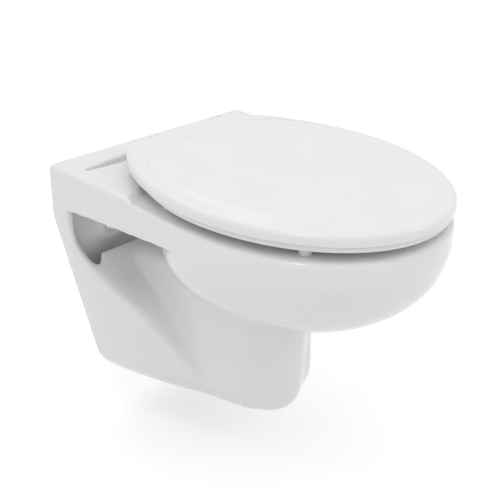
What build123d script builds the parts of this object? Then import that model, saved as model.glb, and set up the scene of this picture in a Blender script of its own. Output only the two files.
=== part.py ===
from build123d import *
import os
from math import copysign, cos, pi, radians, sin

# Wall hung toilet pan with a hinged seat ring and lid, in millimetres.
# The wall is the plane Y = 0, the pan stands out towards -Y, +Z is up and X runs along the wall.
# The origin is midway between the two wall fixing holes. Depths are measured down from the rim top.

# Wall connections
fixing_spacing = 180.0
fixing_hole_r = 11.5
rim_top = 112.0
inlet_rise = 35.0
inlet_r = 27.5
inlet_depth = 45.0
rinse_duct_r = 20.0
outlet_drop = 100.0
spigot_r = 51.0
spigot_bore_r = 42.0
spigot_length = 60.0
spigot_gap = 9.0
shroud_r = 70.0

# Pan outline
pan_half = 178.0
wall_half = 180.0
pan_front = 522.0
widest = 290.0
side_taper = 0.5
band_depth = 60.0
band_rise = 16.0
band_length = 228.0
shoulder = 8.0
bowl_depth = 180.0
bowl_power = 1.75
bowl_rear = 150.0
bearing_drop = 3.0
plateau_front = 138.0
plateau_side = 178.0
deck_thick = 16.0
apron_thick = 12.0

# Back flange and the skirt that runs down from it
flange_depth = 36.0
plate_thick = 15.0
plate_hollow_half = 142.0
flange_knee = 80.0
flange_foot_half = 112.0
flange_foot = 376.0
flange_corner = 75.0
pocket_rear_low = 129.0

# Trap body, its nose and the water way
trap_half = 84.0
trap_front_half = 68.0
trap_front = 288.0
trap_corner = 42.0
hump_depth = 134.0
hump_at_wall = 172.0
housing_half = 42.0
nose_centre = 263.0
nose_r = 57.0
nose_foot = 356.0
nose_lean = 4.0
sump_r = 41.0
passage_r = 36.0
sump_floor = 311.0
leg_foot = 186.0
weir_y = 140.0
weir_depth = 188.0

# Rim and basin
rim_width = 52.0
rim_deep = 46.0
lip_r = 12.0
rim_wall = 10.0
basin_wall = 13.0
rinse_hole_r = 3.5
rinse_hole_count = 16

# Trough between the wall ledge and the hinge deck
ledge_depth = 39.0
trough_width = 26.0
trough_deep = 14.0
trough_half = 172.0

# Hinge line
hinge_spacing = 155.0
bolt_y = 98.0
axis_y = 74.0
axis_rise = 20.0
pin_r = 3.0
bush_wall = 1.5
running_gap = 0.05
head_r = 9.5
head_from = 57.5
head_to = 72.5
knuckle_from = 45.0
side_gap = 0.5
pin_from = 33.0
pin_to = 80.0
neck_front = 13.0
post_base_r = 14.0
post_base_thick = 3.8
gasket_thick = 1.2
bolt_r = 4.0
bolt_gap = 0.3
bolt_hole_r = 7.0
bolt_head_r = 6.2
bolt_head_thick = 2.4
cone_thick = 12.0
cone_r = 13.0
cone_spigot = 6.0
washer_r = 12.0
washer_thick = 2.0
nut_r = 8.5
nut_thick = 12.0
wing_span = 38.0
bolt_tail = 6.0

# Seat ring and lid
lid_half = 178.0
lid_front = 534.0
lid_widest = 290.0
lid_rear = 64.0
straight_rear = 70.0
rear_hollow = 88.0
front_power = 2.0
corner_power = 1.7
seat_gap = 5.5
seat_band = 8.0
seat_thick = 15.0
seat_inset = 5.0
seat_step = 11.0
seat_rear = 86.0
seat_edge_r = 7.0
seat_hole_half = 112.0
seat_hole_front = 448.0
seat_hole_rear = 152.0
seat_groove = 3.5
groove_margin = 24.0
lid_skirt = 14.5
lid_edge_top = 29.5
lid_edge_r = 7.0
lid_panel_top = 33.5
lid_wall = 3.5
lid_panel_inset = 30.0
panel_rear = 128.0
panel_power = 2.6
roll_r = 10.0
roll_half = 82.0

# Buffers
seat_buffer_r = 8.5
seat_buffer_peg = 3.5
lid_buffer_r = 5.0
lid_buffer_peg = 3.0
lid_boss_r = 8.0
lid_boss_drop = 25.0
peg_r = 2.5
front_buffer = (116.0, 438.0)
rear_buffer = (146.0, 225.0)
front_lid_buffer = (112.0, 428.0)
rear_lid_buffer = (138.0, 215.0)

os.makedirs("parts", exist_ok=True)
nodes = {}
seat_base = rim_top + seat_gap
seat_top = seat_base + seat_thick
axis_z = rim_top + axis_rise
bush_r = pin_r + bush_wall
base_top = rim_top + gasket_thick + post_base_thick
sides = {"left": -1, "right": 1}


def below(depth):
    return rim_top - depth


# A quarter of a superellipse from its widest point round to the middle line, on the +X side.
def quarter_curve(offset, reach_x, centre, reach_y, power, count=9):
    way = copysign(1, reach_y)
    points = []
    for step in range(count):
        turn = 0.5 * pi * step / (count - 1)
        across = abs(cos(turn)) ** (2 / power) if step < count - 1 else 0
        points.append((offset + reach_x * across, reach_y * sin(turn) ** (2 / power) - centre))
    return Spline(*points, tangents=[(0, way), (-1, 0)])


def both_sides(curves, height):
    edges = list(curves)
    edges += [mirror(curve, Plane.YZ) for curve in curves]
    rear = curves[0] @ 1
    if rear.X > 0.01:
        edges.append(Line(rear, (-rear.X, rear.Y)))
    wires = Wire.combine([edge for shape in edges for edge in shape.edges()])
    return Pos(0, 0, height) * make_face(wires[0])


def egg(height, centre, half, front, rear):
    return both_sides(
        [quarter_curve(0, half, centre, rear, 2), quarter_curve(0, half, centre, -front, 2)],
        height,
    )


# A prism along X from (distance from the wall, height) pairs, from one X to another.
def side_prism(points, x_low, x_high):
    face = make_face(Polyline(*[(x_low, -y, z) for y, z in points], close=True))
    return extrude(face, amount=x_high - x_low, dir=(1, 0, 0))


def rod(start, end, r, r_end=None):
    line = Line(start, end)
    return Plane(line @ 0, z_dir=line % 0) * Pos(0, 0, line.length / 2) * (
        Cylinder(r, line.length) if r_end is None else Cone(r, r_end, line.length)
    )


# Bowl


# A round form turned about a vertical axis, then stretched apart forwards and backwards.
def stretched(profile, half, front, rear):
    whole = revolve(profile, Axis.Z)
    rear_half = Box(4 * half, 4 * half, 8 * half, align=(Align.CENTER, Align.MIN, Align.CENTER))
    fore = scale(whole - rear_half, by=(1, front / half, 1))
    back = scale(whole & rear_half, by=(1, rear / half, 1))
    return Pos(0, -widest, 0) * (fore + back)


def bowl_curve(half, start, floor, count=9):
    points = []
    for step in range(count - 1):
        share = sin(0.5 * pi * step / (count - 1))
        reach = (1 - share**bowl_power) ** (1 / bowl_power)
        points.append((half * reach, 0, below(start + share * (floor - start))))
    return Spline(*points, (0, 0, below(floor)), tangents=[(0, 0, -1), (-1, 0, 0)])


# A quarter round between two points, about a centre in the XZ plane.
def quarter(start, end, centre):
    towards = (Vector(*start) + Vector(*end)) / 2 - Vector(*centre)
    radius = (Vector(*start) - Vector(*centre)).length
    return ThreePointArc(start, Vector(*centre) + towards.normalized() * radius, end)


def bowl_outside():
    top = below(bearing_drop)
    edge = pan_half - shoulder
    curve = bowl_curve(pan_half, band_depth, bowl_depth)
    outline = [
        Line((0, 0, below(bowl_depth)), (0, 0, top)),
        Line((0, 0, top), (edge, 0, top)),
        quarter((edge, 0, top), (pan_half, 0, top - shoulder), (edge, 0, top - shoulder)),
        Line((pan_half, 0, top - shoulder), curve @ 0),
        curve,
    ]
    return stretched(make_face(Wire(outline)), pan_half, pan_front - widest, bowl_rear)


def basin_inside():
    half = pan_half - basin_wall
    start, floor = rim_deep + 16, bowl_depth - basin_wall
    curve = bowl_curve(half, start, floor)
    ledge = (half - 20, 0, below(rim_deep))
    outline = [
        Line((0, 0, below(floor)), (0, 0, below(rim_deep))),
        Line((0, 0, below(rim_deep)), ledge),
        Line(ledge, curve @ 0),
        curve,
    ]
    return stretched(make_face(Wire(outline)), half, pan_front - widest - basin_wall, bowl_rear - basin_wall)


def rim_opening():
    half = pan_half - rim_width
    lip = below(bearing_drop)
    flare = half + lip_r
    outline = [
        Line((0, 0, below(rim_deep + 2)), (0, 0, lip + 5)),
        Line((0, 0, lip + 5), (flare, 0, lip + 5)),
        Line((flare, 0, lip + 5), (flare, 0, lip)),
        quarter((flare, 0, lip), (half, 0, lip - lip_r), (flare, 0, lip - lip_r)),
        Line((half, 0, lip - lip_r), (half, 0, below(rim_deep + 2))),
        Line((half, 0, below(rim_deep + 2)), (0, 0, below(rim_deep + 2))),
    ]
    return stretched(make_face(Wire(outline)), half, pan_front - widest - rim_width, bowl_rear - rim_width)


def rim_disc(inward, high, low):
    half = pan_half - inward
    outline = Polyline((0, 0, below(high)), (half, 0, below(high)), (half, 0, below(low)), (0, 0, below(low)), close=True)
    return stretched(make_face(outline), half, pan_front - widest - inward, bowl_rear - inward)


def rinse_channel():
    # Hollow inside the box rim, from behind its lip to the pan's outer wall.
    low, high = rim_deep - rim_wall, bearing_drop + rim_wall
    return rim_disc(rim_wall + 2, high, low) - rim_disc(rim_width - rim_wall, high - 1, low + 1)


def rinse_holes():
    inward = rim_width - rim_wall - 6
    half, front, rear = pan_half - inward, pan_front - widest - inward, bowl_rear - inward
    holes = []
    for step in range(rinse_hole_count):
        turn = 2 * pi * (step + 0.5) / rinse_hole_count
        reach = rear if sin(turn) > 0 else front
        spot = Pos(half * cos(turn), -widest + reach * sin(turn), below(rim_deep - rim_wall / 2))
        holes.append(spot * Cylinder(rinse_hole_r, rim_wall + 6))
    return holes


# Deck, aprons and flange


# Half the width of the straight sides, which close in a little towards the front.
def side_half(y):
    return wall_half - (wall_half + side_taper - pan_half) * y / widest


def deck_slab():
    front_half = side_half(widest - 4)
    inner = pan_half - 45
    plan = Polyline(
        (-wall_half, 0),
        (-front_half, 4 - widest),
        (-inner, -widest - 40),
        (inner, -widest - 40),
        (front_half, 4 - widest),
        (wall_half, 0),
        close=True,
    )
    slab = Pos(0, 0, below(band_depth)) * extrude(make_face(plan), band_depth)
    rims = [e for e in slab.edges().group_by(Axis.Z)[-1] if abs(e.center().X) > front_half - 1]
    slab = fillet(rims, shoulder)
    lip = below(band_depth - band_rise)
    reach = flange_depth + band_length
    under = [
        (flange_depth, below(band_depth)),
        (reach, lip),
        (widest + 50, lip + 4),
        (widest + 50, below(band_depth) - 10),
        (flange_depth, below(band_depth) - 10),
    ]
    slab -= side_prism(under, -pan_half - 5, pan_half + 5)
    hollow_half = pan_half - apron_thick
    hollow = Box(2 * hollow_half, widest + 60 - plate_thick, band_depth, align=(Align.CENTER, Align.MAX, Align.MAX))
    hollow = fillet(hollow.edges().filter_by(Axis.Z).sort_by(Axis.Y)[-2:], 12)
    hollow = Pos(0, -plate_thick, below(deck_thick)) * fillet(hollow.edges().group_by(Axis.Z)[-1], 6)
    return slab - hollow - bearing_recess()


def bearing_recess():
    # The rim under the seat lies lower than the hinge deck, behind a curved step.
    step = ThreePointArc((-pan_half - 5, -plateau_side), (0, -plateau_front + 16), (pan_half + 5, -plateau_side))
    far = Polyline(step @ 1, (pan_half + 5, -widest - 60), (-pan_half - 5, -widest - 60), step @ 0)
    return Pos(0, 0, below(bearing_drop)) * extrude(make_face(Wire([step] + far.edges())), 20)


def trough():
    rear = ThreePointArc((-trough_half, -ledge_depth - 13), (0, -ledge_depth), (trough_half, -ledge_depth - 13))
    front_y = ledge_depth + trough_width
    fore = ThreePointArc(rear @ 1, (0, -front_y), rear @ 0)
    cut = Pos(0, 0, below(trough_deep)) * extrude(make_face(Wire([rear, fore])), 40)
    return cut


def skirt_section(y, half, knee, foot_half, foot, corner):
    top = below(band_depth)
    outline = Polyline(
        (-half, top),
        (-half, below(knee)),
        (-foot_half, below(foot)),
        (foot_half, below(foot)),
        (half, below(knee)),
        (half, top),
        close=True,
    )
    face = make_face(outline)
    low = face.vertices().group_by(Axis.Y)[0]
    face = fillet(low, corner)
    knees = [v for v in face.vertices() if abs(v.Y - below(knee)) < 0.01]
    face = fillet(knees, 70)
    return Plane.XZ.offset(y) * face


def skirt():
    at_wall = skirt_section(0, wall_half, flange_knee, flange_foot_half, flange_foot, flange_corner)
    at_edge = skirt_section(
        flange_depth,
        side_half(flange_depth),
        flange_knee,
        flange_foot_half - 2,
        flange_foot - 3,
        flange_corner,
    )
    fairing = [
        at_edge,
        skirt_section(110, 158, flange_knee, 98, flange_foot - 12, 66),
        skirt_section(190, 118, flange_knee, 82, flange_foot - 24, 56),
        skirt_section(255, 80, flange_knee, 64, flange_foot - 40, 46),
    ]
    return loft([at_wall, at_edge], ruled=True) + loft(fairing)


def pocket():
    # Seen from the side: everything ahead of the flange and above the sloping edge is open.
    points = [
        (flange_depth, below(band_depth - 1)),
        (flange_depth, below(pocket_rear_low)),
        (66, below(170)),
        (115, below(208)),
        (150, below(252)),
        (205, below(315)),
        (300, below(360)),
        (340, below(200)),
        (340, below(band_depth - 1)),
    ]
    opening = side_prism(points, -pan_half - 20, pan_half + 20)
    bends = [e for e in opening.edges().filter_by(Axis.X) if below(pocket_rear_low) + 1 > e.center().Z > below(330)]
    opening = fillet(bends, 22)
    behind = side_prism(
        [
            (plate_thick, below(band_depth - 1)),
            (plate_thick, below(hump_at_wall + 20)),
            (flange_depth + 1, below(hump_at_wall + 4)),
            (flange_depth + 1, below(band_depth - 1)),
        ],
        -plate_hollow_half,
        plate_hollow_half,
    )
    return opening + behind


# Trap body


def trap_section(y, half, foot):
    outline = Pos(0, (below(band_depth) + below(foot)) / 2) * Rectangle(2 * half, foot - band_depth)
    return Plane.XZ.offset(y) * fillet(outline.vertices().group_by(Axis.Y)[0], trap_corner)


def trap_body():
    column = loft(
        [
            trap_section(0, trap_half, flange_foot - 2),
            trap_section(trap_front / 2, (trap_half + trap_front_half) / 2, flange_foot - 12),
            trap_section(trap_front + 4, trap_front_half, nose_foot - 14),
        ]
    )
    upright = [e for e in column.edges().group_by(Axis.Y)[0] if e.length > 150 and abs(e.center().X) > 50]
    column = fillet(upright, 24)
    hump = Spline(
        (0, 0, below(hump_at_wall)),
        (0, -45, below(hump_depth + 8)),
        (0, -100, below(hump_depth)),
        (0, -trap_front - 60, below(hump_depth)),
        tangents=[(0, -1, 0.5), (0, -1, 0)],
    )
    rest = Polyline(hump @ 1, (0, -trap_front - 60, below(420)), (0, 0, below(420)), hump @ 0)
    profile = make_face(Wire([hump] + rest.edges()))
    body = column & extrude(profile, amount=trap_half + 20, dir=(1, 0, 0), both=True)
    top = [e for e in body.edges() if e.center().Z > below(hump_depth + 30) and abs(e.center().X) > 60]
    return fillet(top, 20)


def nose():
    circle = Pos(0, -nose_centre, below(bowl_depth - 20)) * Circle(nose_r)
    height = nose_foot - bowl_depth + 20
    column = extrude(circle, amount=-height, taper=nose_lean)
    return fillet(column.edges().group_by(Axis.Z)[0], 38)


def inlet_housing():
    block = side_prism(
        [
            (0, below(band_depth - 1)),
            (0, below(hump_at_wall)),
            (190, below(hump_depth + 10)),
            (190, below(band_depth - 1)),
        ],
        -housing_half,
        housing_half,
    )
    return block


def at(y, depth):
    return (0, -y, below(depth))


def water_way():
    inlet_depth_down = rim_top - inlet_rise
    outlet_down = rim_top + outlet_drop
    parts = [
        rod(at(nose_centre, bowl_depth - 40), at(nose_centre, sump_floor), sump_r),
        Pos(*at(nose_centre, sump_floor)) * Sphere(sump_r),
        rod(at(nose_centre, sump_floor), at(leg_foot, sump_floor), passage_r),
        Pos(*at(leg_foot, sump_floor)) * Sphere(passage_r),
        rod(at(leg_foot, sump_floor), at(weir_y, weir_depth), passage_r),
        Pos(*at(weir_y, weir_depth)) * Sphere(passage_r),
        rod(at(weir_y, weir_depth), at(spigot_length - 5, outlet_down), passage_r),
        Pos(*at(spigot_length, outlet_down)) * Sphere(spigot_bore_r),
        rod(at(spigot_length, outlet_down), at(-1, outlet_down), spigot_bore_r),
        rod(at(-1, inlet_depth_down), at(inlet_depth, inlet_depth_down), inlet_r),
        rod(at(inlet_depth - 1, inlet_depth_down), at(118, inlet_depth_down), rinse_duct_r),
        rod(at(118, inlet_depth_down), at(158, bearing_drop + 24), rinse_duct_r - 4),
        Pos(*at(118, inlet_depth_down)) * Sphere(rinse_duct_r),
    ]
    return parts


def outlet_rod(start, end, r):
    outlet_down = rim_top + outlet_drop
    return rod(at(start, outlet_down), at(end, outlet_down), r)


def spigot_shroud():
    # Round wall that covers the outlet spigot where it stands above the trap body.
    shroud = outlet_rod(0, spigot_length + 8, shroud_r)
    return fillet(shroud.edges().group_by(Axis.Y)[0], 12)


def spigot_recess():
    # Ring shaped space round the outlet spigot, where a connector slides on.
    outer = outlet_rod(-1, spigot_length, spigot_r + spigot_gap)
    return outer - outlet_rod(-2, spigot_length + 1, spigot_r)


def back_hollow():
    # The back is open between the border that meets the wall and the water way.
    wall = basin_wall
    low = flange_foot - wall
    at_wall = skirt_section(-1, wall_half - wall, flange_knee, flange_foot_half - 10, low, flange_corner - 10)
    ahead = skirt_section(110, 158 - wall, flange_knee, 98 - 10, low - 12, 66 - 10)
    side_view = side_prism(
        [(-2, below(206)), (23, below(206)), (60, below(238)), (100, below(276)), (135, below(318)), (-2, below(390))],
        -pan_half,
        pan_half,
    )
    fore_half = trap_front_half - wall + 4
    plan = Polyline((wall - trap_half, 1), (-fore_half, -190), (fore_half, -190), (trap_half - wall, 1), close=True)
    trap_side = side_prism(
        [(-2, below(196)), (50, below(164)), (110, below(150)), (182, below(150)), (182, below(340)), (-2, below(358))],
        -trap_half,
        trap_half,
    )
    trap_inside = Pos(0, 0, below(400)) * extrude(make_face(plan), 300) & trap_side
    shroud = outlet_rod(-3, spigot_length + 8, shroud_r)
    return (loft([at_wall, ahead]) & side_view) + trap_inside - water_walls() - shroud


def water_walls():
    thick = passage_r + 11
    outlet = rim_top + outlet_drop
    walls = rod(at(nose_centre, sump_floor), at(leg_foot, sump_floor), thick)
    walls += Pos(*at(leg_foot, sump_floor)) * Sphere(thick)
    walls += rod(at(leg_foot, sump_floor), at(weir_y, weir_depth), thick)
    walls += Pos(*at(weir_y, weir_depth)) * Sphere(thick)
    return walls + rod(at(weir_y, weir_depth), at(spigot_length - 5, outlet), thick)


def ceramic_pan():
    lower = (skirt() - pocket()) + trap_body() + inlet_housing() + nose() + spigot_shroud()
    pan = lower + deck_slab() + bowl_outside()
    pan = pan - basin_inside() - rim_opening() - rinse_channel()
    pan = pan - rinse_holes() - water_way() - trough() - back_hollow() - spigot_recess()
    for x in (-fixing_spacing / 2, fixing_spacing / 2):
        pan -= Pos(x, 0, 0) * rod((0, 1, 0), (0, -plate_thick - 1, 0), fixing_hole_r)
    for x in (-hinge_spacing / 2, hinge_spacing / 2):
        pan -= Pos(x, -bolt_y, rim_top) * Cylinder(bolt_hole_r, 4 * deck_thick)
    return pan


# Seat ring


# The D shaped outline that the seat and lid share: a straight rear edge, quarter ellipses at the
# rear corners and a rounded front.
def lid_outline(inset, height, rear=None, power=corner_power):
    half = lid_half - inset
    rear_edge = lid_rear + inset if rear is None else rear
    back = quarter_curve(straight_rear, half - straight_rear, lid_widest, lid_widest - rear_edge, power)
    fore = quarter_curve(0, half, lid_widest, lid_widest + inset - lid_front, front_power)
    return both_sides([back, fore], rim_top + height)


def box_between(x, y, z):
    size = (x[1] - x[0], y[1] - y[0], z[1] - z[0])
    return Pos((x[0] + x[1]) / 2, (y[0] + y[1]) / 2, (z[0] + z[1]) / 2) * Box(*size)


# A cylinder along the hinge line, between two distances from the middle on one side.
def hinge_rod(side, start, end, r):
    return rod((side * start, -axis_y, axis_z), (side * end, -axis_y, axis_z), r)


def side_span(side, start, end):
    return tuple(sorted((side * start, side * end)))


def buffer_spots(front, rear):
    spots = {}
    for side, way in sides.items():
        spots["front_" + side] = (way * front[0], -front[1])
        spots["rear_" + side] = (way * rear[0], -rear[1])
    return spots


def seat_hole(height, grow=0.0):
    return egg(
        rim_top + height,
        lid_widest,
        seat_hole_half + grow,
        seat_hole_front - lid_widest + grow,
        lid_widest - seat_hole_rear + grow,
    )


# Insets and heights that go up a side and round its top edge.
def rounded_edge(inset, low, high, r, steps=3):
    rises = [(inset, low)]
    for step in range(steps + 1):
        turn = 0.5 * pi * step / steps
        rises.append((inset + r * (1 - cos(turn)), high - r * (1 - sin(turn))))
    return rises


def seat_body():
    top = seat_gap + seat_thick
    band = extrude(lid_outline(seat_inset, seat_gap, seat_rear), seat_band)
    rises = rounded_edge(seat_step, seat_gap, top, seat_edge_r)
    rear = seat_rear - seat_step + 4
    upper = loft([lid_outline(inset, height, rear + inset) for inset, height in rises], ruled=True)
    flare = rounded_edge(0, seat_gap - 1, top, 5)
    hole = loft([seat_hole(height, grow) for grow, height in flare], ruled=True)
    groove = lid_outline(seat_inset + groove_margin, seat_gap, seat_rear + groove_margin + 10) - seat_hole(seat_gap, 12)
    return band + upper - hole - extrude(groove, seat_groove)


def seat_ring():
    ring = seat_body()
    for way in sides.values():
        arm_x = side_span(way, knuckle_from, head_from - side_gap)
        arm_z = (axis_z - head_r, seat_top)
        ring += box_between(arm_x, (-seat_rear - 12, -axis_y), arm_z)
        ring += hinge_rod(way, knuckle_from, head_from - side_gap, head_r)
        neck_x = side_span(way, head_from - side_gap, head_to + side_gap)
        ring -= box_between(neck_x, (-axis_y - neck_front - 2, 0), (seat_base - 1, seat_top + 1))
        ring -= hinge_rod(way, knuckle_from - 1, head_from - side_gap + 0.01, bush_r)
    for x, y in buffer_spots(front_buffer, rear_buffer).values():
        ring -= Pos(x, y, seat_base + seat_buffer_peg / 2) * Cylinder(peg_r, seat_buffer_peg)
    return ring


# Lid


def lid_shell():
    rises = rounded_edge(0, lid_skirt, lid_edge_top, lid_edge_r)
    outside = [lid_outline(inset, height) for inset, height in rises]
    outside.append(lid_outline(14, lid_edge_top + 0.5, lid_rear + 20))
    outside.append(lid_outline(lid_panel_inset - 10, lid_edge_top + 1.2, panel_rear - 10, 2.2))
    outside.append(lid_outline(lid_panel_inset, lid_panel_top, panel_rear, panel_power))
    edge = lid_edge_top - lid_wall
    inside = [
        lid_outline(lid_wall, lid_skirt - 1, rear_hollow),
        lid_outline(lid_wall, edge - 4, rear_hollow),
        lid_outline(lid_wall + 5, edge, rear_hollow + 5),
        lid_outline(lid_panel_inset + 3, lid_panel_top - lid_wall, panel_rear + 3, panel_power),
    ]
    return loft(outside, ruled=True) - loft(inside, ruled=True)


def lid():
    shell = lid_shell()
    shell += rod((-roll_half, -axis_y, axis_z), (roll_half, -axis_y, axis_z), roll_r)
    middle = pin_from - side_gap - 2
    shell -= box_between((-middle, middle), (-axis_y - 16, -axis_y + 6), (0, rim_top + lid_edge_top - 4))
    for way in sides.values():
        notch = side_span(way, knuckle_from - side_gap, head_to + side_gap)
        shell -= hinge_rod(way, *sorted(abs(x) for x in notch), roll_r + bolt_gap)
        shell -= box_between(notch, (-axis_y - 6, 0), (rim_top, rim_top + 60))
        shell -= box_between(notch, (-axis_y - 18, 0), (rim_top, rim_top + lid_edge_top - 5.5))
        shell -= hinge_rod(way, middle - 1, pin_to + 0.5, bush_r)
    for x, y in buffer_spots(front_lid_buffer, rear_lid_buffer).values():
        boss = Cylinder(lid_boss_r, 5.5, align=(Align.CENTER, Align.CENTER, Align.MIN))
        peg = Cylinder(peg_r, lid_buffer_peg, align=(Align.CENTER, Align.CENTER, Align.MIN))
        shell += Pos(x, y, rim_top + lid_boss_drop) * boss
        shell -= Pos(x, y, rim_top + lid_boss_drop) * peg
    return shell


# Hinge parts


def hinge_post(way):
    base = Pos(way * hinge_spacing / 2, -bolt_y, 0) * Cylinder(
        post_base_r, post_base_thick, align=(Align.CENTER, Align.CENTER, Align.MIN)
    )
    foot_x = side_span(way, head_from, head_to)
    foot = box_between(foot_x, (-bolt_y, -axis_y - 2), (0, post_base_thick))
    post = Pos(0, 0, base_top - post_base_thick) * (base + foot)
    post += box_between(foot_x, (-axis_y - neck_front, -axis_y - 2), (base_top - 1, axis_z))
    post += hinge_rod(way, head_from, head_to, head_r)
    post -= hinge_rod(way, head_from - 1, head_to + 1, pin_r)
    bolt = Pos(way * hinge_spacing / 2, -bolt_y, base_top)
    post -= bolt * Cylinder(bolt_r + bolt_gap, 20)
    return post - bolt * Cylinder(bolt_head_r + bolt_gap, 2 * bolt_head_thick)


def hinge_pin(way):
    pin = hinge_rod(way, pin_from, pin_to, pin_r)
    return chamfer(pin.edges().filter_by(GeomType.CIRCLE), 0.5)


def bush(way, start, end):
    return hinge_rod(way, start, end, bush_r) - hinge_rod(way, start - 1, end + 1, pin_r + running_gap)


def lid_bushes(way):
    inner = bush(way, pin_from + 1, knuckle_from - side_gap)
    return Compound([inner.solid(), bush(way, head_to + side_gap, pin_to).solid()])


def hinge_bolt(x):
    under = rim_top - deck_thick - cone_thick - washer_thick - nut_thick - bolt_tail
    head = Cylinder(bolt_head_r, bolt_head_thick, align=(Align.CENTER, Align.CENTER, Align.MAX))
    length = base_top - under
    shank = Cylinder(bolt_r, length, align=(Align.CENTER, Align.CENTER, Align.MAX))
    bolt = head + shank
    bolt = chamfer(bolt.edges().group_by(Axis.Z)[0], 0.8)
    slot = Box(2 * bolt_head_r + 1, 1.4, 2.4)
    return Pos(x, -bolt_y, base_top) * (bolt - slot)


def gasket(x):
    ring = Cylinder(post_base_r, gasket_thick) - Cylinder(bolt_r + bolt_gap, 4)
    return Pos(x, -bolt_y, rim_top + gasket_thick / 2) * ring


def cone_washer(x):
    cone = Cone(washer_r - 2, cone_r, cone_thick, align=(Align.CENTER, Align.CENTER, Align.MAX))
    spigot = Cylinder(bolt_hole_r - bolt_gap, cone_spigot, align=(Align.CENTER, Align.CENTER, Align.MIN))
    return Pos(x, -bolt_y, rim_top - deck_thick) * (cone + spigot - Cylinder(bolt_r + bolt_gap, 60))


def flat_washer(x):
    ring = Cylinder(washer_r, washer_thick) - Cylinder(bolt_r + bolt_gap, 10)
    return Pos(x, -bolt_y, rim_top - deck_thick - cone_thick - washer_thick / 2) * ring


def wing_nut(x):
    hub = Cylinder(nut_r, nut_thick)
    wing = Pos(0, 0, -1) * Box(wing_span, 3.5, nut_thick - 2)
    wing = fillet(wing.edges().filter_by(Axis.Y), 3)
    nut = hub + wing - Cylinder(bolt_r, 40)
    return Pos(x, -bolt_y, rim_top - deck_thick - cone_thick - washer_thick - nut_thick / 2) * nut


# Buffers


def seat_buffer(x, y):
    foot = rim_top - bearing_drop
    height = seat_base - foot
    block = Pos(0, 0, height / 2) * Cylinder(seat_buffer_r, height)
    block = fillet(block.edges().group_by(Axis.Z)[0], 2)
    peg = Pos(0, 0, height + seat_buffer_peg / 2) * Cylinder(peg_r, seat_buffer_peg)
    return Pos(x, y, foot) * (block + peg)


def lid_buffer(x, y):
    height = rim_top + lid_boss_drop - seat_top
    block = Pos(0, 0, height / 2) * Cylinder(lid_buffer_r, height)
    block = fillet(block.edges().group_by(Axis.Z)[0], 1.5)
    peg = Pos(0, 0, height + lid_buffer_peg / 2) * Cylinder(peg_r, lid_buffer_peg)
    return Pos(x, y, seat_top) * (block + peg)


nodes["ceramic_pan"] = ceramic_pan()
nodes["seat_ring"] = seat_ring()
nodes["lid"] = lid()
for side, way in sides.items():
    bolt_x = way * hinge_spacing / 2
    nodes["hinge_post_" + side] = hinge_post(way)
    nodes["hinge_pin_" + side] = hinge_pin(way)
    nodes["seat_bush_" + side] = bush(way, knuckle_from, head_from - side_gap)
    nodes["lid_bush_" + side] = lid_bushes(way)
    nodes["hinge_bolt_" + side] = hinge_bolt(bolt_x)
    nodes["base_gasket_" + side] = gasket(bolt_x)
    nodes["cone_washer_" + side] = cone_washer(bolt_x)
    nodes["flat_washer_" + side] = flat_washer(bolt_x)
    nodes["wing_nut_" + side] = wing_nut(bolt_x)
for place, (x, y) in buffer_spots(front_buffer, rear_buffer).items():
    nodes["seat_buffer_" + place] = seat_buffer(x, y)
for place, (x, y) in buffer_spots(front_lid_buffer, rear_lid_buffer).items():
    nodes["lid_buffer_" + place] = lid_buffer(x, y)

for name, shape in nodes.items():
    shape.label = name
    export_step(shape, "parts/" + name + ".step")
    print(name, round(shape.volume), len(shape.solids()), shape.is_valid)
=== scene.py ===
from math import cos, pi, radians, sin

import bmesh
import bpy
from mathutils import Matrix, Vector


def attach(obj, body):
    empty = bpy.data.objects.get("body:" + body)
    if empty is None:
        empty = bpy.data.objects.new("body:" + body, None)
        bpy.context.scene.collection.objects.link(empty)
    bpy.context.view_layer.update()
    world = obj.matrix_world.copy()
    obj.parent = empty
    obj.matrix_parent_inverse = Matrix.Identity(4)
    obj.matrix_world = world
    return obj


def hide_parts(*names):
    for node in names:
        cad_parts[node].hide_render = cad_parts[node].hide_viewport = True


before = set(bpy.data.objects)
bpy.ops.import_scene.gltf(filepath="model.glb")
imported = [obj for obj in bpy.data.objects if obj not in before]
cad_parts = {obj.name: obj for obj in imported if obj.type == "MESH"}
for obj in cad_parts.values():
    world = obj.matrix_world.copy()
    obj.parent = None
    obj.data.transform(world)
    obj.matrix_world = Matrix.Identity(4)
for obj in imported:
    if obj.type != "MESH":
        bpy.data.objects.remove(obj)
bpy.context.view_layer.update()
rimTop = 0.112


def metres(values):
    return {name: value * 0.001 for name, value in values.items()}


class Wire:
    # One output socket, so that shader sums are written as ordinary expressions.
    def __init__(self, finish, socket):
        self.finish = finish
        self.socket = socket

    def sums(self, operation, *others):
        values = dict(enumerate((self, *others)))
        return self.finish.add("ShaderNodeMath", {"operation": operation}, values)

    def __add__(self, other):
        return self.sums("ADD", other)

    def __sub__(self, other):
        return self.sums("SUBTRACT", other)

    def __rsub__(self, other):
        return self.finish.add("ShaderNodeMath", {"operation": "SUBTRACT"}, {0: other, 1: self})

    def __mul__(self, other):
        return self.sums("MULTIPLY", other)

    def __gt__(self, other):
        return self.sums("GREATER_THAN", other)

    __radd__ = __add__
    __rmul__ = __mul__


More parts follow.
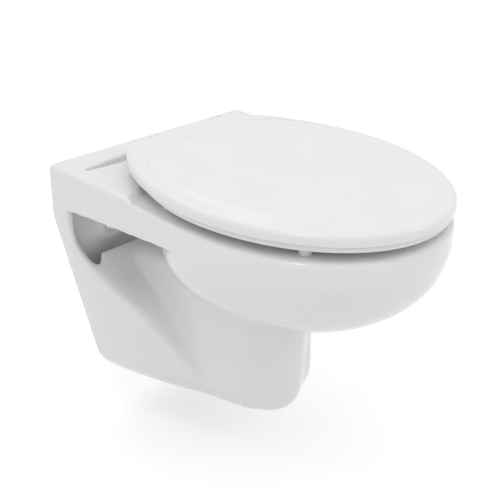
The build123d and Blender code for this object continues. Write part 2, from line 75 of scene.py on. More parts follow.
class Shading:
    # A tree of shader nodes.
    def __init__(self, tree):
        self.tree = tree

    def add(self, kind, settings, values, output=0):
        node = self.tree.nodes.new(kind)
        for name, value in settings.items():
            setattr(node, name, value)
        for name, value in values.items():
            self.give(node, name, value)
        return Wire(self, node.outputs[output])

    def give(self, node, name, value):
        if isinstance(value, Wire):
            self.tree.links.new(value.socket, node.inputs[name])
        else:
            node.inputs[name].default_value = value

    def place(self, stretch=(1, 1, 1)):
        spot = self.add("ShaderNodeTexCoord", {}, {}, "Object")
        return self.add("ShaderNodeMapping", {}, {"Vector": spot, "Scale": stretch})

    def axis(self, name):
        spot = self.add("ShaderNodeTexCoord", {}, {}, "Object")
        return self.add("ShaderNodeSeparateXYZ", {}, {"Vector": spot}, name)

    def noise(self, scale, detail=3, stretch=(1, 1, 1)):
        values = {"Vector": self.place(stretch), "Scale": scale, "Detail": detail, "Roughness": 0.5}
        return self.add("ShaderNodeTexNoise", {}, values, "Fac")

    def blend(self, share, first, second):
        values = {0: share, 6: first, 7: second}
        return self.add("ShaderNodeMix", {"data_type": "RGBA"}, values, 2)

    def bump(self, height, strength, distance):
        values = {"Height": height, "Strength": strength, "Distance": distance}
        return self.add("ShaderNodeBump", {}, values)


class Finish(Shading):
    # A material with one Principled shader, and the nodes that feed it.
    def __init__(self, name, **constants):
        self.material = bpy.data.materials.new(name)
        self.material.use_nodes = True
        super().__init__(self.material.node_tree)
        self.shader = self.tree.nodes["Principled BSDF"]
        for socket, value in constants.items():
            self.shader.inputs[socket.replace("_", " ")].default_value = value

    def feed(self, **links):
        for socket, value in links.items():
            self.give(self.shader, socket.replace("_", " "), value)
        return self.material


def makeObject(name, mesh, *materials):
    piece = bpy.data.objects.new(name, mesh)
    bpy.context.scene.collection.objects.link(piece)
    mesh.materials.clear()
    for material in materials:
        mesh.materials.append(material)
    return piece


def settle(piece, *modifiers):
    # Applies modifiers, each given as (kind, settings), and leaves a plain mesh.
    for kind, settings in modifiers:
        modifier = piece.modifiers.new(kind.title(), kind)
        for name, value in settings.items():
            setattr(modifier, name, value)
    graph = bpy.context.evaluated_depsgraph_get()
    mesh = bpy.data.meshes.new_from_object(piece.evaluated_get(graph))
    piece.modifiers.clear()
    piece.data = mesh
    return piece


def polish(piece, angle=35):
    # Smooth shading that keeps the real edges.
    piece.data.shade_smooth()
    piece.data.set_sharp_from_angle(angle=radians(angle))
    return piece


def fromRows(name, rows, material):
    # Joins loops of equal length into a skin; a loop that has shrunk to a point becomes a pole.
    body = bmesh.new()
    loops = []
    for row in rows:
        if (Vector(row[0]) - Vector(row[len(row) // 2])).length < 1e-6:
            loops.append([body.verts.new(row[0])])
        else:
            loops.append([body.verts.new(point) for point in row])
    for upper, lower in zip(loops, loops[1:] + loops[:1]):
        if len(upper) + len(lower) > 2:
            bridge(body, upper, lower)
    bmesh.ops.recalc_face_normals(body, faces=body.faces)
    mesh = bpy.data.meshes.new(name)
    body.to_mesh(mesh)
    body.free()
    return makeObject(name, mesh, material)


def bridge(body, upper, lower):
    count = max(len(upper), len(lower))
    for index in range(count):
        after = (index + 1) % count
        if len(upper) == 1:
            body.faces.new((upper[0], lower[after], lower[index]))
        elif len(lower) == 1:
            body.faces.new((upper[index], upper[after], lower[0]))
        else:
            body.faces.new((upper[index], upper[after], lower[after], lower[index]))


def block(body, low, high):
    size = Vector(high) - Vector(low)
    spot = Matrix.Translation((Vector(low) + Vector(high)) / 2) @ Matrix.Diagonal((*size, 1))
    bmesh.ops.create_cube(body, size=1, matrix=spot)


def crossRod(body, start, end, radius, sides=64):
    # A round bar along the hinge line, between two distances along X.
    spot = Matrix.Translation(((start + end) / 2, -hinge["back"], rimTop + hinge["rise"]))
    spot = spot @ Matrix.Rotation(radians(90), 4, "Y")
    bmesh.ops.create_cone(
        body,
        cap_ends=True,
        segments=sides,
        radius1=radius,
        radius2=radius,
        depth=abs(end - start),
        matrix=spot,
    )


def upRod(body, x, y, low, high, radius, sides=32):
    spot = Matrix.Translation((x, y, rimTop + (low + high) / 2))
    bmesh.ops.create_cone(
        body, cap_ends=True, segments=sides, radius1=radius, radius2=radius, depth=high - low, matrix=spot
    )


def carve(piece, operation, build):
    # Builds a tool shape, joins it to the piece or cuts it away, and removes the tool.
    body = bmesh.new()
    build(body)
    mesh = bpy.data.meshes.new("tool")
    body.to_mesh(mesh)
    body.free()
    tool = makeObject("tool", mesh)
    settings = {"operation": operation, "object": tool, "solver": "EXACT", "use_self": True}
    settle(piece, ("BOOLEAN", settings))
    bpy.data.objects.remove(tool)
    return piece


finishes = {
    "glazeTint": (0.80, 0.805, 0.80, 1),
    "glazeShade": (0.765, 0.772, 0.768, 1),
    "bisque": (0.72, 0.68, 0.61, 1),
    "seatTint": (0.82, 0.82, 0.82, 1),
    "seatShade": (0.79, 0.79, 0.79, 1),
    "hingeTint": (0.74, 0.74, 0.73, 1),
    "steelTint": (0.56, 0.56, 0.55, 1),
    "nylonTint": (0.78, 0.77, 0.72, 1),
    "rubberTint": (0.045, 0.045, 0.047, 1),
    "bufferTint": (0.62, 0.62, 0.60, 1),
    "steelWorn": (0.66, 0.66, 0.65, 1),
    "nylonPale": (0.83, 0.82, 0.78, 1),
    "rubberPale": (0.07, 0.07, 0.07, 1),
    "bufferPale": (0.70, 0.70, 0.68, 1),
    "bareDepth": 0.0012,  # metres from the wall that carry no glaze
}


def glazedCeramic():
    glaze = Finish("glazedCeramic", IOR=1.5)
    cloud = glaze.noise(9, 2)
    speck = glaze.noise(420, 2)
    bare = glaze.axis("Y") > -finishes["bareDepth"]  # the face that meets the wall carries no glaze
    tint = glaze.blend(cloud * 0.8 + speck * 0.2, finishes["glazeTint"], finishes["glazeShade"])
    ripple = glaze.noise(26, 2) + speck * 0.05
    return glaze.feed(
        Base_Color=glaze.blend(bare, tint, finishes["bisque"]),
        Roughness=0.07 + cloud * 0.04 + bare * 0.6,
        Normal=glaze.bump(ripple, 0.12, 0.0016),
    )


def seatPlastic():
    plastic = Finish("seatPlastic", IOR=1.49)
    cloud = plastic.noise(14, 2)
    skin = plastic.noise(900, 2)
    return plastic.feed(
        Base_Color=plastic.blend(cloud, finishes["seatTint"], finishes["seatShade"]),
        Roughness=0.13 + cloud * 0.05 + skin * 0.03,
        Normal=plastic.bump(skin + plastic.noise(30, 1) * 4, 0.05, 0.0004),
    )


def hingePlastic():
    plastic = Finish("hingePlastic", IOR=1.5)
    skin = plastic.noise(1600, 3)
    tint = plastic.blend(plastic.noise(40, 2), finishes["hingeTint"], finishes["seatShade"])
    return plastic.feed(Base_Color=tint, Roughness=0.28 + skin * 0.1, Normal=plastic.bump(skin, 0.1, 0.0003))


def brushedSteel():
    steel = Finish("brushedSteel", Metallic=1.0)
    line = steel.noise(700, 3, (1, 1, 0.06))
    wear = steel.noise(60, 3)
    tint = steel.blend(wear, finishes["steelTint"], finishes["steelWorn"])
    return steel.feed(Base_Color=tint, Roughness=0.2 + line * 0.2, Normal=steel.bump(line, 0.12, 0.0002))


def nylon():
    plastic = Finish("nylon", IOR=1.53)
    skin = plastic.noise(1200, 3)
    tint = plastic.blend(plastic.noise(90, 2), finishes["nylonTint"], finishes["nylonPale"])
    return plastic.feed(Base_Color=tint, Roughness=0.4 + skin * 0.1, Normal=plastic.bump(skin, 0.1, 0.0003))


def rubber():
    skinned = Finish("rubber", IOR=1.52)
    skin = skinned.noise(900, 4)
    tint = skinned.blend(skin, finishes["rubberTint"], finishes["rubberPale"])
    return skinned.feed(Base_Color=tint, Roughness=0.6 + skin * 0.15, Normal=skinned.bump(skin, 0.2, 0.0003))


def softBuffer():
    soft = Finish("softBuffer", IOR=1.45)
    skin = soft.noise(800, 3)
    tint = soft.blend(skin, finishes["bufferTint"], finishes["bufferPale"])
    return soft.feed(Base_Color=tint, Roughness=0.45 + skin * 0.1, Normal=soft.bump(skin, 0.12, 0.0003))


glazedCeramicFinish = glazedCeramic()
seatPlasticFinish = seatPlastic()
hingePlasticFinish = hingePlastic()
brushedSteelFinish = brushedSteel()
nylonFinish = nylon()
rubberFinish = rubber()
softBufferFinish = softBuffer()
print("finishes ready")


pan = metres(
    {
        "voxel": 2.3,  # a finer grid keeps smaller edges and takes longer
        "half": 178,
        "front": 522,
        "widest": 290,
        "rimHalf": 179.8,
        "rimFront": 528,
        "flareFull": 35,
        "flareEnd": 74,
        "bearing": 3,
        "seatDrop": 3.2,
        "dropEnd": 26,
        "stepY": 150,
        "padR": 24,
        "padDeep": 25,
        "holeR": 11.5,
        "holeX": 90,
        "hollowInner": 136,  # hollow behind the flange's edge, from the middle
        "hollowHigh": 58,  # its depths under the rim top
        "hollowLow": 168,
        "hollowReach": 50,  # how far it stands from the wall
        "plateThick": 15.2,
        "bearingSlack": 1.2,
        "flareRear": 70,
        "stepSide": 120,
        "blendHigh": 70,  # depths between which the soft blends begin
        "blendLow": 100,
        "plateEdge": 6,  # distances from the wall between which they begin
        "plateClear": 14,
        "flangeSide": 158,  # distances from the middle between which they end
        "flangeEdge": 174,
        "bowlHigh": 130,
        "bowlLow": 160,
        "bowlHalf": 170,
        "bowlReach": 200,
    }
)
pan["rimPower"] = 2.12
pan["flareShares"] = (0.945, 0.975)
pan["bowlShares"] = (0.8, 0.95)
pan["stepSlope"] = 0.6
pan["firstSmoothing"] = 6
pan["blendSmoothing"] = 170
pan["triangles"] = 190000


# The outer side of the hollow behind the flange's edge: distance from the middle, depth under the rim top.
hollowSide = ((0.168, 0.058), (0.167, 0.085), (0.161, 0.108), (0.152, 0.134), (0.142, 0.158))


def plateHollows(body):
    inner = pan["hollowInner"]
    outline = [(inner, pan["hollowLow"]), (inner, pan["hollowHigh"]), *hollowSide]
    for way in (-1, 1):
        near = [body.verts.new((way * x, -pan["hollowReach"], rimTop - depth)) for x, depth in outline]
        far = [body.verts.new((way * x, -pan["plateThick"], rimTop - depth)) for x, depth in outline]
        body.faces.new(near)
        body.faces.new(far)
        bridge(body, near, far)
    bmesh.ops.recalc_face_normals(body, faces=body.faces)


def fixingRod(body, radius, low, high):
    for way in (-1, 1):
        spot = Matrix.Translation((way * pan["holeX"], (low + high) / 2, 0))
        spot = spot @ Matrix.Rotation(radians(90), 4, "X")
        bmesh.ops.create_cone(
            body, cap_ends=True, segments=48, radius1=radius, radius2=radius, depth=high - low, matrix=spot
        )


def fixingPads(body):
    fixingRod(body, pan["padR"], -pan["padDeep"], -0.010)


def fixingHoles(body):
    fixingRod(body, pan["holeR"], -0.05, 0.01)


def easing(value, start, end):
    share = min(max((value - start) / (end - start), 0), 1)
    return share * share * (3 - 2 * share)


def rimRadius(turn, half, reach, power):
    # Distance of a superellipse from its middle, in a direction.
    across, along = abs(cos(turn)) / half, abs(sin(turn)) / reach
    return (across**power + along**power) ** (-1 / power)


def shapeRim(mesh):
    # Flares the rim's outside a little and sets the seat's bearing face below the hinge deck.
    half, reach = pan["half"], pan["front"] - pan["widest"]
    for vertex in mesh.vertices:
        x, y, depth = vertex.co.x, vertex.co.y + pan["widest"], rimTop - vertex.co.z
        if depth > pan["flareEnd"]:
            continue
        if y < pan["flareRear"]:
            turn = Vector((abs(x), max(-y, 0))).angle(Vector((1, 0))) if y < 0 else 0
            old = rimRadius(turn, half, reach, 2.0)
            new = rimRadius(turn, pan["rimHalf"], pan["rimFront"] - pan["widest"], pan["rimPower"])
            out = Vector((x, min(y, 0))).length / old
            share = easing(out, *pan["flareShares"]) * (1 - easing(depth, pan["flareFull"], pan["flareEnd"]))
            grow = 1 + (new / old - 1) * share * (1 - easing(y, 0, pan["flareRear"]))
            vertex.co.x = x * grow
            vertex.co.y = (y * grow if y < 0 else y) - pan["widest"]
        step = -pan["stepY"] - pan["stepSlope"] * (abs(x) - pan["stepSide"])
        if vertex.co.y < step and depth < pan["dropEnd"]:
            if depth > pan["bearing"] - pan["bearingSlack"]:
                fall = pan["seatDrop"] * (1 - easing(depth, pan["bearing"], pan["dropEnd"]))
                vertex.co.z -= fall


def blendShares(piece):
    # Where the skin is drawn softly: under the bowl, in the side recesses and round the trap.
    group = piece.vertex_groups.new(name="blends")
    for vertex in piece.data.vertices:
        x, y, depth = abs(vertex.co.x), -vertex.co.y, rimTop - vertex.co.z
        inside = easing(depth, pan["blendHigh"], pan["blendLow"]) * easing(y, pan["plateEdge"], pan["plateClear"])
        inside *= 1 - easing(x, pan["flangeSide"], pan["flangeEdge"])
        spread = Vector((x / pan["bowlHalf"], (y - pan["widest"]) / pan["bowlReach"])).length
        bowl = (1 - easing(depth, pan["bowlHigh"], pan["bowlLow"])) * (1 - easing(spread, *pan["bowlShares"]))
        share = inside * (1 - bowl)
        if share > 0.01:
            group.add([vertex.index], share, "REPLACE")
    return group.name


def softenedPan():
    # The cast body, with the soft blends that casting and glaze give it.
    source = bmesh.new()
    source.from_mesh(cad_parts["ceramic_pan"].data)
    bmesh.ops.remove_doubles(source, verts=source.verts, dist=1e-6)
    mesh = bpy.data.meshes.new("glazedPan")
    source.to_mesh(mesh)
    source.free()
    piece = makeObject("glazedPan", mesh, glazedCeramicFinish)
    carve(piece, "DIFFERENCE", plateHollows)
    carve(piece, "UNION", fixingPads)
    carve(piece, "DIFFERENCE", fixingHoles)
    print("pan carved")
    settle(piece, ("REMESH", {"mode": "VOXEL", "voxel_size": pan["voxel"], "adaptivity": 0.0}))
    shapeRim(piece.data)
    settle(piece, ("SMOOTH", {"factor": 0.5, "iterations": pan["firstSmoothing"]}))
    group = blendShares(piece)
    settle(piece, ("SMOOTH", {"factor": 0.5, "iterations": pan["blendSmoothing"], "vertex_group": group}))
    triangles = 2 * len(piece.data.polygons)
    print("pan skin", triangles)
    if triangles > pan["triangles"]:
        settle(piece, ("DECIMATE", {"ratio": pan["triangles"] / triangles}))
    piece.data.materials.clear()
    piece.data.materials.append(glazedCeramicFinish)
    return polish(piece, 50)


glazedPan = softenedPan()
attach(glazedPan, "pan")
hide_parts("ceramic_pan")
print("pan ready")


hinge = metres(
    {
        "back": 74,
        "rise": 20,
        "headR": 9.5,
        "knuckleFrom": 45,  # distances from the middle
        "knuckleTo": 57,
        "slotFrom": 44.5,
        "slotTo": 73,
        "middleHalf": 30.5,
    }
)
dForm = metres({"half": 178, "front": 534, "widest": 290, "rear": 64, "straightRear": 70})
dForm["corner"] = 1.7
dForm["loopPoints"] = 288


def sampled(curve):
    # Loop points at even angles about the widest point, from a curve down one side, rear to front.
    middle = -dForm["widest"]
    angles = [pi - turnOf(x, y - middle) for x, y in curve]
    count = dForm["loopPoints"]
    half = []
    spot = 0
    for step in range(count // 2 + 1):
        angle = 2 * pi * step / count
        while spot < len(curve) - 2 and angles[spot + 1] < angle:
            spot += 1
        share = min(max((angle - angles[spot]) / max(angles[spot + 1] - angles[spot], 1e-9), 0), 1)
        (x0, y0), (x1, y1) = curve[spot], curve[spot + 1]
        half.append((x0 + share * (x1 - x0), y0 + share * (y1 - y0)))
    return half + [(-x, y) for x, y in half[-2:0:-1]]


def turnOf(x, y):
    # Angle from straight ahead (-Y), through the side, to the rear (+Y).
    return Vector((0, -1)).angle(Vector((x, y))) if (x, y) != (0, 0) else 0


def dOutline(inset=0.0, rear=None, corner=None):
    # D shape: straight rear edge, rounded rear corners, round front.
    rear = dForm["rear"] + inset if rear is None else rear
    corner = corner or dForm["corner"]
    half, middle, straight = dForm["half"] - inset, dForm["widest"], dForm["straightRear"]
    reach = dForm["front"] - inset - middle
    curve = [(straight * step / 12, -rear) for step in range(12)]
    for step in range(80, 0, -1):
        turn = 0.5 * pi * step / 80
        x = straight + (half - straight) * max(cos(turn), 0) ** (2 / corner)
        curve.append((x, (middle - rear) * sin(turn) ** (2 / corner) - middle))
    for step in range(161):
        turn = 0.5 * pi * step / 160
        curve.append((half * cos(turn), -reach * sin(turn) - middle))
    curve[-1] = (0, curve[-1][1])
    return sampled(curve)


def eggOutline(half, front, rear):
    middle = dForm["widest"]
    curve = []
    for step in range(241):
        turn = pi * step / 240
        reach = (middle - rear) if turn < pi / 2 else (front - middle)
        curve.append((half * sin(turn), reach * cos(turn) - middle))
    curve[0], curve[-1] = (0, curve[0][1]), (0, curve[-1][1])
    return sampled(curve)


def raised(loop, height):
    return [Vector((x, y, rimTop + height)) for x, y in loop]


def mixed(first, second, share):
    return [tuple(a + share * (b - a) for a, b in zip(p, q)) for p, q in zip(first, second)]


lidForm = metres(
    {
        "skirt": 14.5,
        "shoulder": 29.5,
        "edgeR": 7,
        "rearR": 10,
        "wall": 3.5,
        "panelInset": 30,
        "panelRear": 128,
        "panelTop": 33.2,
        "crown": 0.3,
        "rearHollow": 88,
        "rollHalf": 82,
        "rollR": 9.95,
        "bossR": 8,
        "bossLow": 25,
    }
)
lidForm["bosses"] = ((0.112, -0.428), (0.138, -0.215))
lidForm["panelCorner"] = 2.6
lidForm["edgeSteps"] = 9


def rearShare(x, y):
    # 1 along the straight rear edge, 0 from the rear corners on.
    side = min(max((abs(x) - 0.075) / 0.07, 0), 1)
    near = min(max((y + 0.15) / 0.07, 0), 1)
    return near * (1 - side * side * (3 - 2 * side))


def lidSide():
    # Rows from the skirt up and round the top edge; the rounding grows to meet the roll at the rear.
    outer = dOutline()
    inner = dOutline(0.02)
    rows = []
    for step in range(lidForm["edgeSteps"] + 1):
        turn = 0.5 * pi * step / lidForm["edgeSteps"]
        row = []
        for (x, y), (u, v) in zip(outer, inner):
            share = rearShare(x, y)
            radius = lidForm["edgeR"] + share * (lidForm["rearR"] - lidForm["edgeR"])
            top = lidForm["shoulder"] + share * 0.0005
            move = radius * (1 - cos(turn)) / 0.02
            height = rimTop + top - radius * (1 - sin(turn))
            row.append(Vector((x + move * (u - x), y + move * (v - y), height)))
        rows.append(row)
    return rows


def lidSkin():
    skirt, panelTop, wall = lidForm["skirt"], lidForm["panelTop"], lidForm["wall"]
    inset, rear, corner = lidForm["panelInset"], lidForm["panelRear"], lidForm["panelCorner"]
    rows = [raised(dOutline(0.0032), skirt), raised(dOutline(0.0012), skirt)]
    rows += [raised(dOutline(0.0003), skirt + 0.0004), raised(dOutline(), skirt + 0.0014)]
    rows += lidSide()
    # the shoulder swells gently, then rises steeply to the crease round the panel
    shoulder = dOutline(0.014, dForm["rear"] + 0.022)
    foot = dOutline(inset - 0.010, rear - 0.010, 2.2)
    panel = dOutline(inset, rear, corner)
    rows.append(raised(shoulder, lidForm["shoulder"] + 0.0006))
    rows.append(raised(mixed(shoulder, foot, 0.55), lidForm["shoulder"] + 0.0009))
    for share, height in ((0, 0.0011), (0.3, 0.0017), (0.6, 0.0026), (0.82, 0.0034)):
        rows.append(raised(mixed(foot, panel, share), lidForm["shoulder"] + height))
    rows.append(raised(mixed(foot, panel, 0.96), panelTop - 0.0001))
    rows += crowned(panel, panelTop, lidForm["crown"], (1, 0.97, 0.9, 0.75, 0.55, 0.3, 0.12))
    # the underside, from the middle out to the skirt
    edge = lidForm["shoulder"] - wall
    hollow = lidForm["rearHollow"]
    under = dOutline(inset + 0.003, rear + 0.003, corner)
    below = crowned(under, panelTop - wall, lidForm["crown"], (0.12, 0.4, 0.8, 1), tip=False)
    middle = Vector((0, -dForm["widest"], rimTop + panelTop - wall + lidForm["crown"]))
    rows.append([middle] * len(under))
    rows += below
    rows.append(raised(dOutline(wall + 0.005, hollow + 0.005), edge))
    rows.append(raised(dOutline(wall + 0.0015, hollow + 0.0015), edge - 0.001))
    rows.append(raised(dOutline(wall, hollow), edge - 0.004))
    rows.append(raised(dOutline(wall, hollow), skirt + 0.0005))
    return rows


def crowned(loop, height, crown, shares, tip=True):
    # Rows that shrink to the middle of a panel and rise by its crown.
    middle = Vector((0, -dForm["widest"]))
    rows = []
    for share in shares:
        rise = height + crown * (1 - share * share)
        rows.append([Vector((x * share, middle.y + (y - middle.y) * share, rimTop + rise)) for x, y in loop])
    if tip:
        rows.append([Vector((0, middle.y, rimTop + height + crown))] * len(loop))
    return rows


def lidRoll(body):
    crossRod(body, -lidForm["rollHalf"], lidForm["rollHalf"], lidForm["rollR"])
    for x, y in lidForm["bosses"]:
        for way in (-1, 1):
            upRod(body, way * x, y, lidForm["bossLow"], 0.0315, lidForm["bossR"])


def lidNotches(body):
    back, rise = hinge["back"], rimTop + hinge["rise"]
    for way in (-1, 1):
        low, high = sorted((way * hinge["slotFrom"], way * hinge["slotTo"]))
        crossRod(body, way * hinge["slotFrom"], way * hinge["slotTo"], lidForm["rollR"] + 0.0004)
        block(body, (low, -back - 0.006, rimTop), (high, 0, rimTop + 0.06))
        block(body, (low, -back - 0.018, rimTop), (high, -0.01, rimTop + 0.024))
    half = hinge["middleHalf"]
    block(body, (-half, -back - 0.016, rimTop), (half, -back + 0.006, rimTop + 0.0255))


def hingedLid():
    piece = fromRows("lidShell", lidSkin(), seatPlasticFinish)
    carve(piece, "UNION", lidRoll)
    carve(piece, "DIFFERENCE", lidNotches)
    return polish(piece, 32)


lidShell = hingedLid()
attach(lidShell, "lid")
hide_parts("lid")
print("lid ready")


seatForm = metres(
    {
        "low": 5.5,
        "band": 13.5,
        "top": 20.5,
        "bandInset": 5,
        "bodyInset": 11,
        "bandRear": 86,
        "edgeR": 7,
        "holeHalf": 112,
        "holeFront": 448,
        "holeRear": 152,
        "holeR": 5,
        "slope": 1.2,
        "groove": 3.5,
        "grooveMargin": 24,
        "armLow": 10.5,
    }
)


def seatHole(grow=0.0):
    return eggOutline(
        seatForm["holeHalf"] + grow, seatForm["holeFront"] + grow, seatForm["holeRear"] - grow
    )


def seatSkin():
    low, band, top = seatForm["low"], seatForm["band"], seatForm["top"]
    rearOf = seatForm["bandRear"]
    inset, body, radius = seatForm["bandInset"], seatForm["bodyInset"], seatForm["edgeR"]
    rows = [raised(dOutline(inset + 0.0012, rearOf + 0.0012), low)]
    rows.append(raised(dOutline(inset, rearOf), low + 0.0012))
    rows.append(raised(dOutline(inset, rearOf), band - 0.0012))
    rows.append(raised(dOutline(inset + 0.0004, rearOf + 0.0004), band - 0.0004))
    rows.append(raised(dOutline(inset + 0.0014, rearOf + 0.0014), band))
    rows.append(raised(dOutline(body - 0.0004, rearOf + body), band))
    for step in range(8):
        turn = 0.5 * pi * step / 7
        move = radius * (1 - cos(turn))
        height = top - (top - band) * (1 - sin(turn))
        rows.append(raised(dOutline(body + move, rearOf + body + move), height))
    outerTop = dOutline(body + radius, rearOf + body + radius)
    innerTop = seatHole(seatForm["holeR"])
    fall = seatForm["slope"]
    for share in (0.25, 0.5, 0.75, 1):
        rows.append(raised(mixed(outerTop, innerTop, share), top - fall * share * share))
    for step in range(1, 8):
        turn = 0.5 * pi * step / 7
        grow = seatForm["holeR"] * (1 - sin(turn))
        rows.append(raised(seatHole(grow), top - fall - seatForm["holeR"] * (1 - cos(turn))))
    rows += [raised(seatHole(), low + 0.0012), raised(seatHole(0.0012), low), raised(seatHole(0.012), low)]
    deep = low + seatForm["groove"]
    rows.append(raised(seatHole(0.0125), deep))
    margin = inset + seatForm["grooveMargin"]
    outer = dOutline(margin + 0.0005, rearOf + seatForm["grooveMargin"] + 0.0105)
    rows.append(raised(outer, deep))
    rows.append(raised(dOutline(margin, rearOf + seatForm["grooveMargin"] + 0.01), low))
    return rows


def seatArms(body):
    back = hinge["back"]
    for way in (-1, 1):
        low, high = sorted((way * hinge["knuckleFrom"], way * hinge["knuckleTo"]))
        block(body, (low, -0.104, rimTop + seatForm["armLow"]), (high, -back, rimTop + seatForm["top"]))
        crossRod(body, way * hinge["knuckleFrom"], way * hinge["knuckleTo"], hinge["headR"])


def seatNotches(body):
    for way in (-1, 1):
        low, high = sorted((way * hinge["knuckleTo"], way * hinge["slotTo"]))
        block(body, (low, -0.089, rimTop + 0.002), (high, 0, rimTop + 0.03))


def hingedSeat():
    piece = fromRows("seatRing", seatSkin(), seatPlasticFinish)
    carve(piece, "UNION", seatArms)
    carve(piece, "DIFFERENCE", seatNotches)
    return polish(piece, 32)


seatRing = hingedSeat()
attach(seatRing, "seat")
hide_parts("seat_ring")
print("seat ready")


seatBuffers = {
    "Front spot": (0.116, -0.438, rimTop - 0.0062),
    "Rear spot": (0.146, -0.225, rimTop - 0.0062),
    "Radius": 0.0085,
    "Height": 0.0145,
    "Rounding": 0.0018,
}
lidBuffers = {
    "Front spot": (0.112, -0.428, rimTop + 0.0205),
    "Rear spot": (0.138, -0.215, rimTop + 0.0205),
    "Radius": 0.005,
    "Height": 0.0065,
    "Rounding": 0.0014,
}


def bufferTree(material):
    tree = bpy.data.node_groups.new("bufferSet", "GeometryNodeTree")
    face = tree.interface
    face.new_socket("Geometry", in_out="OUTPUT", socket_type="NodeSocketGeometry")
    for name in ("Front spot", "Rear spot"):
        face.new_socket(name, in_out="INPUT", socket_type="NodeSocketVector")
    for name in ("Radius", "Height", "Rounding"):
        face.new_socket(name, in_out="INPUT", socket_type="NodeSocketFloat")

    def add(kind, links, settings=None, output=0):
        node = tree.nodes.new(kind)
        for name, value in (settings or {}).items():
            setattr(node, name, value)
        for name, value in links.items():
            for one in value if isinstance(value, list) else [value]:
                if isinstance(one, bpy.types.NodeSocket):
                    tree.links.new(one, node.inputs[name])
                else:
                    node.inputs[name].default_value = one
        return node.outputs[output]

    given = tree.nodes.new("NodeGroupInput").outputs
    half = add("ShaderNodeMath", {0: given["Radius"], 1: 0.5}, {"operation": "MULTIPLY"})
    path = add("GeometryNodeCurvePrimitiveCircle", {"Resolution": 36, "Radius": half})
    extent = {"Width": given["Radius"], "Height": given["Height"]}
    side = add("GeometryNodeCurvePrimitiveQuadrilateral", extent)
    soft = add(
        "GeometryNodeFilletCurve",
        {"Curve": side, "Count": 5, "Radius": given["Rounding"], "Limit Radius": True},
        {"mode": "POLY"},
    )
    disc = add("GeometryNodeCurveToMesh", {"Curve": path, "Profile Curve": soft})
    lift = add("ShaderNodeMath", {0: given["Height"], 1: 0.5}, {"operation": "MULTIPLY"})
    up = add("ShaderNodeCombineXYZ", {"Z": lift})
    disc = add("GeometryNodeTransform", {"Geometry": disc, "Translation": up})
    right = add(
        "GeometryNodeMeshLine",
        {"Count": 2, "Start Location": given["Front spot"], "Offset": given["Rear spot"]},
        {"mode": "END_POINTS"},
    )
    left = add("GeometryNodeTransform", {"Geometry": right, "Scale": (-1, 1, 1)})
    spots = add("GeometryNodeJoinGeometry", {"Geometry": [right, left]})
    many = add("GeometryNodeInstanceOnPoints", {"Points": spots, "Instance": disc})
    real = add("GeometryNodeRealizeInstances", {"Geometry": many})
    done = add("GeometryNodeSetMaterial", {"Geometry": real, "Material": material})
    tree.links.new(done, tree.nodes.new("NodeGroupOutput").inputs[0])
    return tree


def bufferSet(name, sizes, body, nodes):
    piece = makeObject(name, bpy.data.meshes.new(name), softBufferFinish)
    modifier = piece.modifiers.new("Buffers", "NODES")
    modifier.node_group = bufferPattern
    for item in bufferPattern.interface.items_tree:
        if item.in_out == "INPUT":
            modifier[item.identifier] = sizes[item.name]
    settle(piece)
    polish(piece, 40)
    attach(piece, body)
    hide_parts(*nodes)
    return piece


bufferPattern = bufferTree(softBufferFinish)
places = ("front_left", "front_right", "rear_left", "rear_right")
bufferSet("seatBuffers", seatBuffers, "seat", ["seat_buffer_" + place for place in places])
bufferSet("lidBuffers", lidBuffers, "lid", ["lid_buffer_" + place for place in places])
print("buffers ready")


hardware = {
    "hinge_post": hingePlasticFinish,
    "hinge_pin": brushedSteelFinish,
    "seat_bush": nylonFinish,
    "lid_bush": nylonFinish,
    "hinge_bolt": brushedSteelFinish,
    "base_gasket": rubberFinish,
    "cone_washer": rubberFinish,
    "flat_washer": brushedSteelFinish,
    "wing_nut": nylonFinish,
}
for name, finish in hardware.items():
    for side in ("_left", "_right"):
        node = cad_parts[name + side]
        node.data.materials.clear()
        node.data.materials.append(finish)
print("hardware ready")


room = {
    "floorDrop": 0.324,
    "floorReach": 9.0,
    "floorTint": (0.82, 0.82, 0.82, 1),
    "floorLift": 0.3,
    "worldHorizon": 0.80,
    "worldRise": 0.17,
    "keyWatts": 3.6,
    "fillWatts": 1.6,
    "rimWatts": 1.4,
    "lens": 77.43,
    "shift": (-0.0405, 0.0230),
    "eye": (-0.9367, -1.2219, 0.6608),
    "target": (0, -0.260, -0.008),
    "roll": 0.24,
}


def paleFloor():
    reach = room["floorReach"]
    body = bmesh.new()
    spot = Matrix.Translation((0, -0.3, -room["floorDrop"]))
    bmesh.ops.create_grid(body, x_segments=1, y_segments=1, size=reach, matrix=spot)
    mesh = bpy.data.meshes.new("floor")
    body.to_mesh(mesh)
    body.free()
    pale = Finish("paleFloor", Base_Color=room["floorTint"], Roughness=0.9)
    path = pale.add("ShaderNodeLightPath", {}, {}, "Is Camera Ray")
    glossy = pale.add("ShaderNodeLightPath", {}, {}, "Is Glossy Ray")
    pale.shader.inputs["Emission Color"].default_value = (1, 1, 1, 1)
    pale.give(pale.shader, "Emission Strength", (path + glossy) * room["floorLift"])
    makeObject("floor", mesh, pale.material)


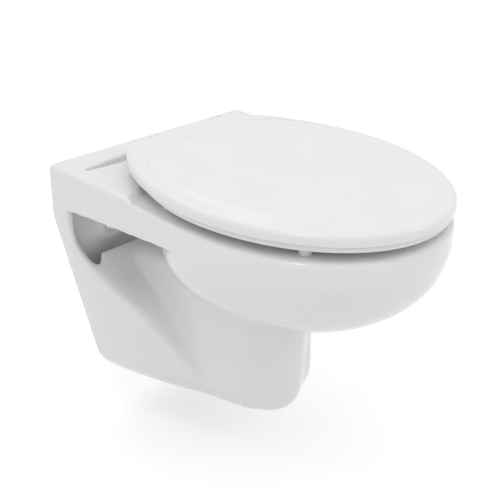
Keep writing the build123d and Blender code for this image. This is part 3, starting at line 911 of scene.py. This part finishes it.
def whiteWorld():
    # Softly brighter overhead than at the horizon; what the camera sees of it is plain white.
    world = bpy.data.worlds.new("world")
    bpy.context.scene.world = world
    world.use_nodes = True
    sky = Shading(world.node_tree)
    back = sky.tree.nodes["Background"]
    ray = sky.add("ShaderNodeTexCoord", {}, {}, "Generated")
    height = sky.add("ShaderNodeSeparateXYZ", {}, {"Vector": ray}, "Z")
    level = sky.add("ShaderNodeMath", {"operation": "MAXIMUM"}, {0: height, 1: 0.0}) * room["worldRise"]
    channels = {name: level + room["worldHorizon"] for name in ("Red", "Green", "Blue")}
    grey = sky.add("ShaderNodeCombineColor", {}, channels)
    seen = sky.add("ShaderNodeLightPath", {}, {}, "Is Camera Ray")
    through = sky.add("ShaderNodeLightPath", {}, {}, "Is Transmission Ray")
    sky.give(back, "Color", sky.blend(seen + through, grey, (1, 1, 1, 1)))


def softLamp(name, spot, target, size, watts):
    lamp = bpy.data.lights.new(name, "AREA")
    lamp.shape = "RECTANGLE"
    lamp.size, lamp.size_y = size
    lamp.energy = watts
    holder = bpy.data.objects.new(name, lamp)
    bpy.context.scene.collection.objects.link(holder)
    holder.location = spot
    holder.rotation_euler = (Vector(target) - Vector(spot)).to_track_quat("-Z", "Y").to_euler()


def viewpoint():
    cam = bpy.data.cameras.new("camera")
    cam.sensor_width = 36
    cam.lens = room["lens"]
    cam.shift_x, cam.shift_y = room["shift"]
    holder = bpy.data.objects.new("camera", cam)
    bpy.context.scene.collection.objects.link(holder)
    spot, target = Vector(room["eye"]), Vector(room["target"])
    look = (target - spot).to_track_quat("-Z", "Y").to_matrix()
    holder.location = spot
    holder.rotation_euler = (look @ Matrix.Rotation(radians(room["roll"]), 3, "Z")).to_euler()
    bpy.context.scene.camera = holder


paleFloor()
whiteWorld()
softLamp("keyLamp", (-0.9, -0.5, 1.9), (0, -0.3, 0), (0.3, 0.6), room["keyWatts"])
softLamp("fillLamp", (0.9, -1.7, 1.1), (0, -0.3, 0), (0.25, 0.25), room["fillWatts"])
softLamp("rearLamp", (0.4, 1.0, 1.5), (0, -0.3, 0.05), (1.2, 0.6), room["rimWatts"])
viewpoint()
bpy.context.scene.view_settings.view_transform = "Standard"
print("floor, light and camera ready")
